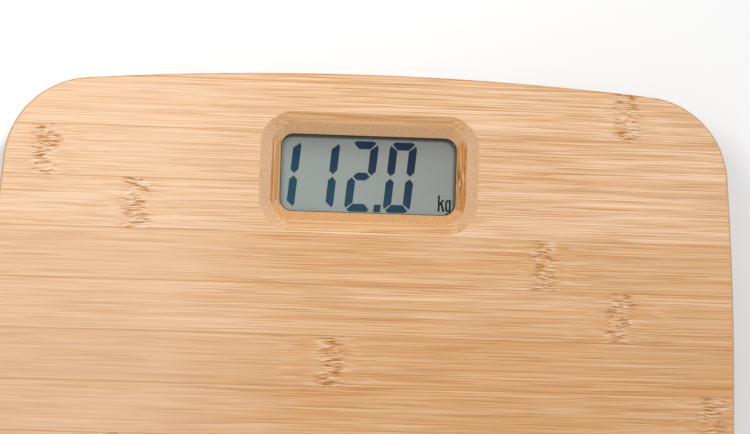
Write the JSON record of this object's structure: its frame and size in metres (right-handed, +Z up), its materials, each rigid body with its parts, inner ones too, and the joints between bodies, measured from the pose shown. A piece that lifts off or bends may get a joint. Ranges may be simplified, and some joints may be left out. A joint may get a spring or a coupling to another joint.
{
  "type": "digital bathroom scale",
  "caption": "Low square bamboo platform with bowed edges, a bevelled display window near the back edge and round load-cell feet underneath.",
  "frame": {"origin": "on the floor, under the middle of the platform, at the underside of the foot pads", "axes": "+Z up through the platform's thickness, +Y towards the back edge where the display is, +X to the right as the digits are read"},
  "size_m": [0.3, 0.3, 0.025],
  "materials": {
    "bamboo_face": "satin lacquered bamboo, grain left to right",
    "bamboo_core": "satin lacquered bamboo, grain front to back",
    "gasket_foam": "closed-cell foam",
    "clear_lens": "clear acrylic",
    "lcd_ink": "dark blue lit bars",
    "lcd_face": "grey-green display film",
    "lcd_glass": "display glass",
    "reflector_film": "reflective film",
    "connector_rubber": "silicone",
    "circuit_board": "solder mask over glass epoxy",
    "black_compound": "epoxy blob",
    "components": "ceramic and plastic cases",
    "switch_plastic": "moulded",
    "button_plastic": "moulded, fine texture",
    "white_plastic": "moulded, fine texture",
    "screw_steel": "zinc plated",
    "contact_steel": "nickel plated spring steel",
    "battery_case": null,
    "cell_steel": "nickel plated",
    "gauge_compound": "silicone compound",
    "foot_rubber": "matt",
    "wire_red": "PVC insulation",
    "wire_black": "PVC insulation",
    "wire_white": "PVC insulation",
    "cover_film": "adhesive film"
  },
  "bodies": {
    "platform": {"platform_top_ply": "bamboo_face", "platform_core_ply": "bamboo_core", "platform_bottom_ply": "bamboo_face", "lens_gasket": "gasket_foam", "display_lens": "clear_lens", "lcd_segments": "lcd_ink", "lcd_polariser": "lcd_face", "lcd_front_glass": "lcd_glass", "lcd_rear_glass": "lcd_glass", "lcd_reflector": "reflector_film", "lcd_holder": "white_plastic", "zebra_strips": "connector_rubber", "main_board": "circuit_board", "processor_blob": "black_compound", "board_components": "components", "board_screws": "screw_steel", "unit_switch_body": "switch_plastic", "electronics_housing": "white_plastic", "housing_screws": "screw_steel", "battery_1": "battery_case", "battery_2": "battery_case", "battery_springs": "contact_steel", "battery_contacts": "contact_steel", "battery_leads": "wire_black", "wires_red": "wire_red", "wires_black": "wire_black", "wires_white": "wire_white", "cable_covers": "cover_film", "bracket_screws": "screw_steel", "foot_bracket_front_left": "white_plastic", "foot_bracket_front_right": "white_plastic", "foot_bracket_rear_left": "white_plastic", "foot_bracket_rear_right": "white_plastic", "load_cell_front_left": "cell_steel", "load_cell_front_right": "cell_steel", "load_cell_rear_left": "cell_steel", "load_cell_rear_right": "cell_steel", "strain_gauge_front_left": "gauge_compound", "strain_gauge_front_right": "gauge_compound", "strain_gauge_rear_left": "gauge_compound", "strain_gauge_rear_right": "gauge_compound", "foot_ring_front_left": "white_plastic", "foot_ring_front_right": "white_plastic", "foot_ring_rear_left": "white_plastic", "foot_ring_rear_right": "white_plastic"},
    "unit_button": {"unit_button": "button_plastic", "unit_switch_stem": "switch_plastic"},
    "battery_door": {"battery_door": "white_plastic"},
    "foot_front_left": {"foot_disc_front_left": "white_plastic", "foot_pad_front_left": "foot_rubber"},
    "foot_front_right": {"foot_disc_front_right": "white_plastic", "foot_pad_front_right": "foot_rubber"},
    "foot_rear_left": {"foot_disc_rear_left": "white_plastic", "foot_pad_rear_left": "foot_rubber"},
    "foot_rear_right": {"foot_disc_rear_right": "white_plastic", "foot_pad_rear_right": "foot_rubber"}
  },
  "joints": [
    {"name": "unit_button_press", "type": "slide", "parent": "platform", "child": "unit_button", "axis": [0, 0, 1], "range_m": [0, 0.001], "stiffness_N_per_m": 400, "springref_m": -0.001},
    {"name": "battery_door_slide", "type": "slide", "parent": "platform", "child": "battery_door", "axis": [0, -1, 0], "range_m": [0, 0.026]},
    {"name": "foot_front_left_travel", "type": "slide", "parent": "platform", "child": "foot_front_left", "axis": [0, 0, 1], "range_m": [-0.0008, 0]},
    {"name": "foot_front_right_travel", "type": "slide", "parent": "platform", "child": "foot_front_right", "axis": [0, 0, 1], "range_m": [-0.0008, 0]},
    {"name": "foot_rear_left_travel", "type": "slide", "parent": "platform", "child": "foot_rear_left", "axis": [0, 0, 1], "range_m": [-0.0008, 0]},
    {"name": "foot_rear_right_travel", "type": "slide", "parent": "platform", "child": "foot_rear_right", "axis": [0, 0, 1], "range_m": [-0.0008, 0]}
  ]
}
